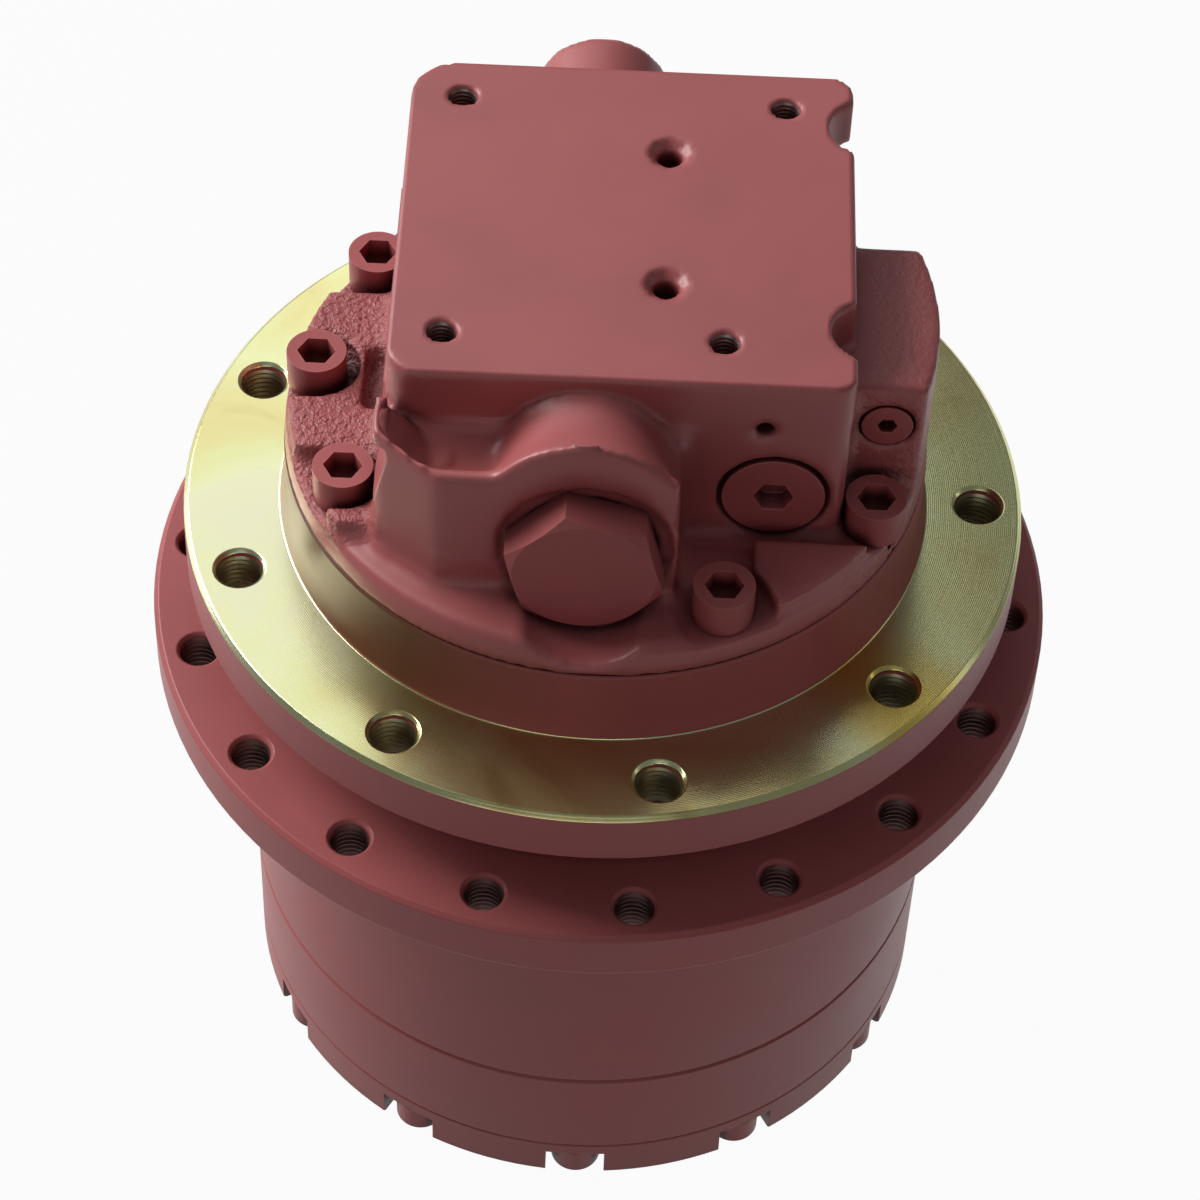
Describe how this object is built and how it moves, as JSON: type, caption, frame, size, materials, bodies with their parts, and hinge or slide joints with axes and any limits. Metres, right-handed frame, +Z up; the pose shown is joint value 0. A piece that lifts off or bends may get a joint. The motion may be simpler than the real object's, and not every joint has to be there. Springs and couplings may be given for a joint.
{
  "type": "excavator final drive",
  "caption": "Track travel drive: an axial piston motor and valve housing on a fixed frame flange, with a planetary reduction that turns the drum and its sprocket flange",
  "frame": {"origin": "centre of the end cover's foot, on the gear axis", "axes": "+Z up along the gear axis from the end cover to the valve housing; -Y is the side with the hexagon plug; +X to its right"},
  "size_m": [0.28, 0.28, 0.3075],
  "materials": {
    "red_paint": "semi-gloss enamel over a casting",
    "steel": "ground steel",
    "gear_steel": "case-hardened, oiled",
    "bearing_steel": "polished",
    "bronze": "machined bronze",
    "iron": "machined iron",
    "rubber": "nitrile",
    "spring_steel": "blued"
  },
  "bodies": {
    "case": {"motor_case": "red_paint", "valve_housing": "red_paint", "spool_plug": "red_paint", "selector_plug": "red_paint", "side_plug": "red_paint", "housing_screws": "red_paint", "case_o_ring": "rubber", "seal_ring_case": "bearing_steel", "seal_toric_case": "rubber", "main_bearing_inners": "bearing_steel", "bearing_nut": "steel", "planet_2_pins": "steel", "planet_2_needles": "bearing_steel", "planet_2_washers": "bronze", "pin_plate": "steel", "pin_plate_screws": "steel", "shaft_bearing_outers": "bearing_steel", "shaft_seal": "rubber", "swash_plate": "steel", "cylinder_block": "steel", "pistons": "gear_steel", "piston_shoes": "bronze", "retainer_plate": "steel", "retainer_guide": "steel", "block_spring": "spring_steel", "valve_plate": "bronze", "brake_plates": "steel", "brake_discs": "bronze", "brake_springs": "spring_steel", "spool_spring_front": "spring_steel", "spool_spring_rear": "spring_steel", "selector_spring": "spring_steel"},
    "drum": {"sprocket_hub": "red_paint", "ring_gear": "red_paint", "end_cover": "red_paint", "cover_bolts": "red_paint", "oil_plugs": "red_paint", "seal_ring_hub": "bearing_steel", "seal_toric_hub": "rubber", "main_bearing_outers": "bearing_steel"},
    "main_roller_set": {"main_bearing_rollers": "bearing_steel"},
    "planet_2_a": {"planet_2_a": "gear_steel"},
    "planet_2_b": {"planet_2_b": "gear_steel"},
    "planet_2_c": {"planet_2_c": "gear_steel"},
    "carrier": {"carrier_1": "iron", "sun_gear_2": "gear_steel", "planet_1_pins": "steel", "planet_1_needles": "bearing_steel", "planet_1_washers": "bronze"},
    "planet_1_a": {"planet_1_a": "gear_steel"},
    "planet_1_b": {"planet_1_b": "gear_steel"},
    "planet_1_c": {"planet_1_c": "gear_steel"},
    "shaft": {"sun_gear_1": "gear_steel", "motor_shaft": "gear_steel", "shaft_bearing_inners": "bearing_steel"},
    "shaft_roller_set": {"shaft_bearing_rollers": "bearing_steel"},
    "brake_piston": {"brake_piston": "steel"},
    "counterbalance_spool": {"counterbalance_spool": "gear_steel"},
    "selector_spool": {"selector_spool": "gear_steel"}
  },
  "joints": [
    {"name": "drum_spin", "type": "hinge", "parent": "case", "child": "drum", "pos_m": [0, 0, 0], "axis": [0, 0, 1], "continuous": true},
    {"name": "main_roller_orbit", "type": "hinge", "parent": "case", "child": "main_roller_set", "pos_m": [0, 0, 0], "axis": [0, 0, 1], "continuous": true},
    {"name": "planet_2_a_spin", "type": "hinge", "parent": "case", "child": "planet_2_a", "pos_m": [0.04384, 0.02531, 0], "axis": [0, 0, 1], "continuous": true},
    {"name": "planet_2_b_spin", "type": "hinge", "parent": "case", "child": "planet_2_b", "pos_m": [-0.04384, 0.02531, 0], "axis": [0, 0, 1], "continuous": true},
    {"name": "planet_2_c_spin", "type": "hinge", "parent": "case", "child": "planet_2_c", "pos_m": [0, -0.05063, 0], "axis": [0, 0, 1], "continuous": true},
    {"name": "carrier_spin", "type": "hinge", "parent": "case", "child": "carrier", "pos_m": [0, 0, 0], "axis": [0, 0, 1], "continuous": true},
    {"name": "planet_1_a_spin", "type": "hinge", "parent": "carrier", "child": "planet_1_a", "pos_m": [0.00212, 0.05058, 0], "axis": [0, 0, 1], "continuous": true},
    {"name": "planet_1_b_spin", "type": "hinge", "parent": "carrier", "child": "planet_1_b", "pos_m": [-0.04486, -0.02345, 0], "axis": [0, 0, 1], "continuous": true},
    {"name": "planet_1_c_spin", "type": "hinge", "parent": "carrier", "child": "planet_1_c", "pos_m": [0.04274, -0.02713, 0], "axis": [0, 0, 1], "continuous": true},
    {"name": "shaft_spin", "type": "hinge", "parent": "case", "child": "shaft", "pos_m": [0, 0, 0], "axis": [0, 0, 1], "continuous": true},
    {"name": "shaft_roller_orbit", "type": "hinge", "parent": "case", "child": "shaft_roller_set", "pos_m": [0, 0, 0], "axis": [0, 0, 1], "continuous": true},
    {"name": "brake_release", "type": "slide", "parent": "case", "child": "brake_piston", "axis": [0, 0, 1], "range_m": [0, 0.002], "deforming": ["brake_springs"]},
    {"name": "counterbalance_shift", "type": "slide", "parent": "case", "child": "counterbalance_spool", "axis": [0, 1, 0], "range_m": [-0.005, 0.005], "deforming": ["spool_spring_front", "spool_spring_rear"]},
    {"name": "selector_shift", "type": "slide", "parent": "case", "child": "selector_spool", "axis": [0, 1, 0], "range_m": [0, 0.006], "deforming": ["selector_spring"]}
  ],
  "couplings": [
    {"joint": "main_roller_orbit", "follows": "drum_spin", "ratio": 0.5265},
    {"joint": "planet_2_a_spin", "follows": "drum_spin", "ratio": 2.5},
    {"joint": "planet_2_b_spin", "follows": "drum_spin", "ratio": 2.5},
    {"joint": "planet_2_c_spin", "follows": "drum_spin", "ratio": 2.5},
    {"joint": "carrier_spin", "follows": "drum_spin", "ratio": -5},
    {"joint": "planet_1_a_spin", "follows": "drum_spin", "ratio": 15},
    {"joint": "planet_1_b_spin", "follows": "drum_spin", "ratio": 15},
    {"joint": "planet_1_c_spin", "follows": "drum_spin", "ratio": 15},
    {"joint": "shaft_spin", "follows": "drum_spin", "ratio": -35},
    {"joint": "shaft_roller_orbit", "follows": "drum_spin", "ratio": -15}
  ]
}
